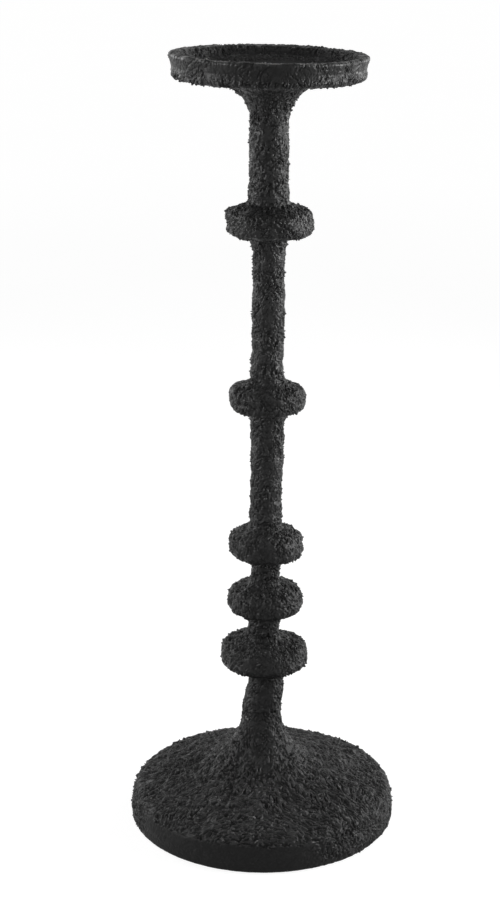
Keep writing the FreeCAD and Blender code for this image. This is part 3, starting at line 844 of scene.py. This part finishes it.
def base_pieces(pulp, finish):
    """The base's coat in four pieces from its foot inwards: side, cone, slope and sweep."""
    outline, mark = pulp.outline, pulp.outline.mark
    edge = mark["base_edge"] + BASE_EDGE_TO_CONE
    slope = outline.where_radius(BASE_SLOPE_RADIUS, edge, mark["base_top"])
    sweep = outline.where_radius(BASE_SWEEP_RADIUS, slope, mark["base_top"])
    top = mark["base_top"]
    board, board_top = BOARD_HIGH[0] + GLUE_LINE, BOARD_HIGH[2] + GLUE_LINE
    block = FOOT_HIGH[0] + GLUE_LINE
    edge_radius = outline.at(edge, outline.r)

    def face(start, end):
        """The foot block's face under the coat, from one length along the outline to another."""
        return [outline.beneath(s, BASE_CONE_COAT) for s in np.linspace(start, end, 8)]

    pulp_piece(pulp, finish, "base_pulp_side", ["base_pulp_coat"], 0, edge, 1200, 4,
               [(edge_radius, board_top), (board, board_top)])
    pulp_piece(pulp, finish, "base_pulp_cone", ["base_pulp_coat"], edge, slope, 1200, 4,
               face(slope, edge)[:-1] + [(block, board_top), (edge_radius, board_top)])
    pulp_piece(pulp, finish, "base_pulp_slope", ["base_pulp_coat"], slope, sweep, 720, 4, face(sweep, slope))
    pulp_piece(pulp, finish, "base_pulp_sweep", ["base_pulp_coat"], sweep, top, 384, 2,
               [(BORE, BASE_HIGH[2]), (BORE, FOOT_HIGH[2] + GLUE_LINE)] + face(top - 14, sweep))


def stem_pieces(pulp, finish):
    """The six coats of the stem, each between two pieces that are wider."""
    mark = pulp.outline.mark
    for k, (low, high) in enumerate(STEMS):
        start = mark["base_top"] if k == 0 else mark[f"ring_{k}_top"]
        end = mark["cup_low"] if k == len(RINGS) else mark[f"ring_{k + 1}_foot"]
        pulp_piece(pulp, finish, f"stem_pulp_{k + 1}", [f"stem_pulp_coat_{k + 1}"], start, end, 192, 1,
                   [(BORE, high[2]), (BORE, low[2])])


def ring_pieces(pulp, finish):
    """The five coats of the rings, each from under the ring to the neck above it, round its core."""
    mark = pulp.outline.mark
    for k, (low, high) in enumerate(RINGS):
        core_low, core_high = CORES[k][0][2] - GLUE_LINE, CORES[k][1][2] + GLUE_LINE
        core_edge = CORES[k][1][0] + GLUE_LINE
        lining = [(BORE, high[2]), (BORE, core_high), (core_edge, core_high), (core_edge, core_low),
                  (BORE, core_low), (BORE, low[2])]
        start, end = mark[f"ring_{k + 1}_foot"], mark[f"ring_{k + 1}_top"]
        pulp_piece(pulp, finish, f"ring_pulp_{k + 1}", [f"ring_pulp_coat_{k + 1}"], start, end, 384, 2,
                   lining)


def cup_pieces(pulp, finish, dark_finish):
    """The cup's coat in four pieces: neck, underside, wall with lip, and inner wall."""
    outline, mark = pulp.outline, pulp.outline.mark
    start, end = mark["cup_low"], mark["cup_floor"]
    under = outline.where_radius(CUP_UNDERSIDE_RADIUS, start, mark["cup_foot"])
    wall = outline.where_radius(CUP_WALL_RADIUS, under, mark["cup_foot"])
    inside = mark["lip_inside"] + LIP_PAST_CREST
    block, board = NECK_HIGH[0] + GLUE_LINE, NECK_HIGH[2] - GLUE_LINE
    floor = PLATE_LOW[2] + GLUE_LINE
    hoop_in, hoop_out = HOOP_HIGH[0] - HOOP_THICKNESS - GLUE_LINE, HOOP_HIGH[0] + GLUE_LINE
    hoop_top = HOOP_HIGH[2] + GLUE_LINE
    throat = [outline.beneath(s, CUP_NECK_COAT - GLUE_LINE) for s in np.linspace(under - 4, start + 4, 8)]
    pulp_piece(pulp, finish, "cup_pulp_neck", ["cup_pulp_coat"], start, under, 480, 3,
               [(CUP_UNDERSIDE_RADIUS, board), (block, board)] + throat
               + [(BORE, NECK_LOW[2]), (BORE, CUP_LOW[2])])
    pulp_piece(pulp, finish, "cup_pulp_underside", ["cup_pulp_coat"], under, wall, 720, 6,
               [(CUP_WALL_RADIUS, board), (CUP_UNDERSIDE_RADIUS, board)])
    pulp_piece(pulp, finish, "cup_pulp_wall", ["cup_pulp_coat", "rim_pulp_coat"], wall, inside, 1080, 6,
               [(hoop_in, hoop_top), (hoop_out, hoop_top), (hoop_out, board), (CUP_WALL_RADIUS, board)])
    pulp_piece(pulp, dark_finish, "cup_pulp_inside", ["rim_pulp_coat"], inside, end, 900, 10,
               [(hoop_in, floor), (hoop_in, hoop_top)])


def plate_crust(pulp, finish):
    """Pulp that has run over the candle plate's lip and edge, and leaves its middle bare."""
    floor = PLATE_LOW[2] + PLATE_THICKNESS
    edge, lip = PLATE_HIGH[0], PLATE_HIGH[2]
    inside = edge - PLATE_THICKNESS
    bed = floor - CRUST_LINING_DEPTH
    lining = [(CRUST_RADIUS, bed), (inside - PLATE_THICKNESS, bed), (inside, floor + PLATE_THICKNESS),
              (inside, lip), (edge, lip), (edge, lip - CRUST_DROP)]
    pulp_piece(pulp, finish, "plate_pulp_crust", [], 0, pulp.outline.length, 720, 5, lining, PLATE)


def dress_nodes():
    """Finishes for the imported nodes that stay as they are."""
    sleeves = [f"stem_sleeve_{k}" for k in range(1, 7)]
    cores = [f"ring_core_{k}" for k in range(1, 6)]
    finishes = [
        (black_plate_finish(), ["candle_plate"]),
        (turned_wood_finish(), ["foot_block", "neck_block"] + sleeves),
        (fibre_board_finish("fibre_board", BOARD_HIGH[0] + 1), ["base_board"] + cores),
        (fibre_board_finish("painted_board", PLATE_HIGH[0] - 3), ["cup_board"]),
        (ply_strip_finish(), ["rim_hoop"]),
        (zinc_steel_finish(), ["tie_rod", "tie_rod_washer", "tie_rod_nut", "cap_nut"]),
        (black_felt_finish(), ["felt_pad"])]
    for material, nodes in finishes:
        for node in nodes:
            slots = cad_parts[node].data.materials
            slots.clear()
            slots.append(material)


def mirrored_level(finish, way):
    """How bright the tent looks in a gloss, by the direction from the object: dimmer towards the camera."""
    behind = finish.add("ShaderNodeSeparateXYZ", {}, {0: way}, out="Y")
    return finish.ramp(behind * 0.5 + 0.5, TENT)


def floor_finish():
    """Pale floor: a soft grey that keeps the shadow, with light of its own for what looks straight at it.

    That light grows with the distance from the object, as the lamps' light falls off, so that the floor is
    an even white outside the shadow.
    """
    finish = Finish("pale_floor")
    straight = (finish.add("ShaderNodeLightPath", out="Is Camera Ray")
                + finish.add("ShaderNodeLightPath", out="Is Transmission Ray"))
    glossy = finish.add("ShaderNodeLightPath", out="Is Glossy Ray")
    place = finish.place()
    way = finish.add("ShaderNodeVectorMath", {"operation": "NORMALIZE"}, {0: place})
    away = finish.add("ShaderNodeVectorMath", {"operation": "LENGTH"}, {0: place}, out="Value")
    glow_level = finish.ramp(away / 4, [(0.0, (0.88,) * 3), (0.25, (0.92,) * 3), (0.6, (0.95,) * 3)])
    clouds = finish.noise(place, 400.0, 2.0)
    tint = finish.ramp(clouds, [(0.3, (0.29, 0.29, 0.29)), (0.7, (0.31, 0.31, 0.31))])
    matt = finish.add("ShaderNodeBsdfDiffuse", {}, {"Color": tint})
    seen = straight * glow_level + glossy * mirrored_level(finish, way) * FLOOR_SEEN
    glow = finish.add("ShaderNodeEmission", {}, {"Color": (1, 1, 1, 1), "Strength": seen})
    both = finish.add("ShaderNodeAddShader", {}, {0: matt, 1: glow})
    finish.add("ShaderNodeOutputMaterial", {}, {"Surface": both})
    return finish.material


def floor():
    """Level floor at the stand plane, far wider than the view."""
    half = 9.0
    mesh = bpy.data.meshes.new("floor")
    corners = [(-half, -half, 0), (half, -half, 0), (half, half, 0), (-half, half, 0)]
    mesh.from_pydata(corners, [], [(0, 1, 2, 3)])
    mesh.materials.append(floor_finish())
    piece = bpy.data.objects.new("floor", mesh)
    bpy.context.scene.collection.objects.link(piece)


def white_world(level, sky):
    """White surroundings: one strength on matt surfaces, another in a gloss, and white to the camera."""
    world = bpy.data.worlds.new("white_tent")
    tent = Finish("white_tent", world)
    way = tent.add("ShaderNodeTexCoord", out="Generated")
    matt = tent.add("ShaderNodeLightPath", out="Is Diffuse Ray")
    glossy = tent.add("ShaderNodeLightPath", out="Is Glossy Ray")
    strength = matt * level + glossy * mirrored_level(tent, way) * sky + (1 - matt) * (1 - glossy)
    light = tent.add("ShaderNodeBackground", {}, {"Color": (1, 1, 1, 1), "Strength": strength})
    tent.add("ShaderNodeOutputWorld", {}, {"Surface": light})
    bpy.context.scene.world = world


def softbox(name, place, size, power, aim, spread):
    """Rectangular lamp at a place, turned to face another."""
    lamp = bpy.data.lights.new(name, "AREA")
    lamp.shape = "RECTANGLE"
    lamp.size, lamp.size_y = size
    lamp.energy = power
    lamp.spread = math.radians(spread)
    thing = bpy.data.objects.new(name, lamp)
    thing.location = place
    way = np.array(aim) - np.array(place)
    level = math.hypot(way[0], way[1])
    thing.rotation_euler = (math.atan2(level, -way[2]), 0, math.atan2(way[1], way[0]) - math.pi / 2)
    bpy.context.scene.collection.objects.link(thing)


def lights():
    """A white tent with five lamps: one at each side, one behind at each side, and one in front."""
    cup = (0, 0, 0.45)
    middle = (0, 0, 0.25)
    size = (0.5, 0.5)
    softbox("right_lamp", (0.99, -0.12, 0.5), size, 3.3, cup, 80)
    softbox("left_lamp", (-0.966, -0.259, 0.5), size, 1.9, cup, 80)
    softbox("right_back_lamp", (0.72, 0.72, 0.55), size, 2.8, middle, 180)
    softbox("left_back_lamp", (-0.78, 0.66, 0.55), size, 2.5, middle, 180)
    softbox("front_lamp", (0, -1.2, 0.45), size, 0.9, middle, 180)
    white_world(TENT_MATT, TENT_GLOSS)


def camera():
    """The photograph's view: from the front and above, slightly left of the axis, and rolled a little."""
    distance, height, aside = 1.0591, 0.5603, -0.0096
    pitch, roll = math.radians(17.54), math.radians(0.414)
    data = bpy.data.cameras.new("camera")
    data.sensor_width = 36.0
    data.lens = 74.94
    eye = bpy.data.objects.new("camera", data)
    eye.location = (aside, -distance, height)
    eye.rotation_mode = "QUATERNION"
    level = Euler((math.pi / 2 - pitch, 0, 0)).to_quaternion()
    eye.rotation_quaternion = level @ Quaternion((0, 0, 1), roll)
    bpy.context.scene.collection.objects.link(eye)
    bpy.context.scene.camera = eye


def main():
    """The pulp, the other nodes' finishes, the floor, the lights and the camera."""
    finish = pulp_finish("black_pulp", SKIN_PAINT, PULP_SPECULAR, PULP_COAT)
    dark_finish = pulp_finish("sooty_pulp", SKIN_PAINT, PULP_SPECULAR, 0.0)
    # The crust's paint is lifted as a painted light, making up for the shade inside the cup
    lifted_crust_finish = pulp_finish("crust_pulp_lifted", CRUST_LIFTED_PAINT, 0.0, 0.0)
    pulp = Pulp(Outline(candlestick_corners()), candlestick_lay, CANDLESTICK_RELIEF, CANDLESTICK_STRAY,
                candlestick_smoothing_and_light, SEED)
    crust = Pulp(Outline(crust_corners()), crust_lay, CRUST_RELIEF, CRUST_STRAY, crust_smoothing_and_light, SEED + 6)
    base_pieces(pulp, finish)
    stem_pieces(pulp, finish)
    ring_pieces(pulp, finish)
    cup_pieces(pulp, finish, dark_finish)
    plate_crust(crust, lifted_crust_finish)
    dress_nodes()
    floor()
    lights()
    camera()
    bpy.context.scene.view_settings.view_transform = "Standard"


main()
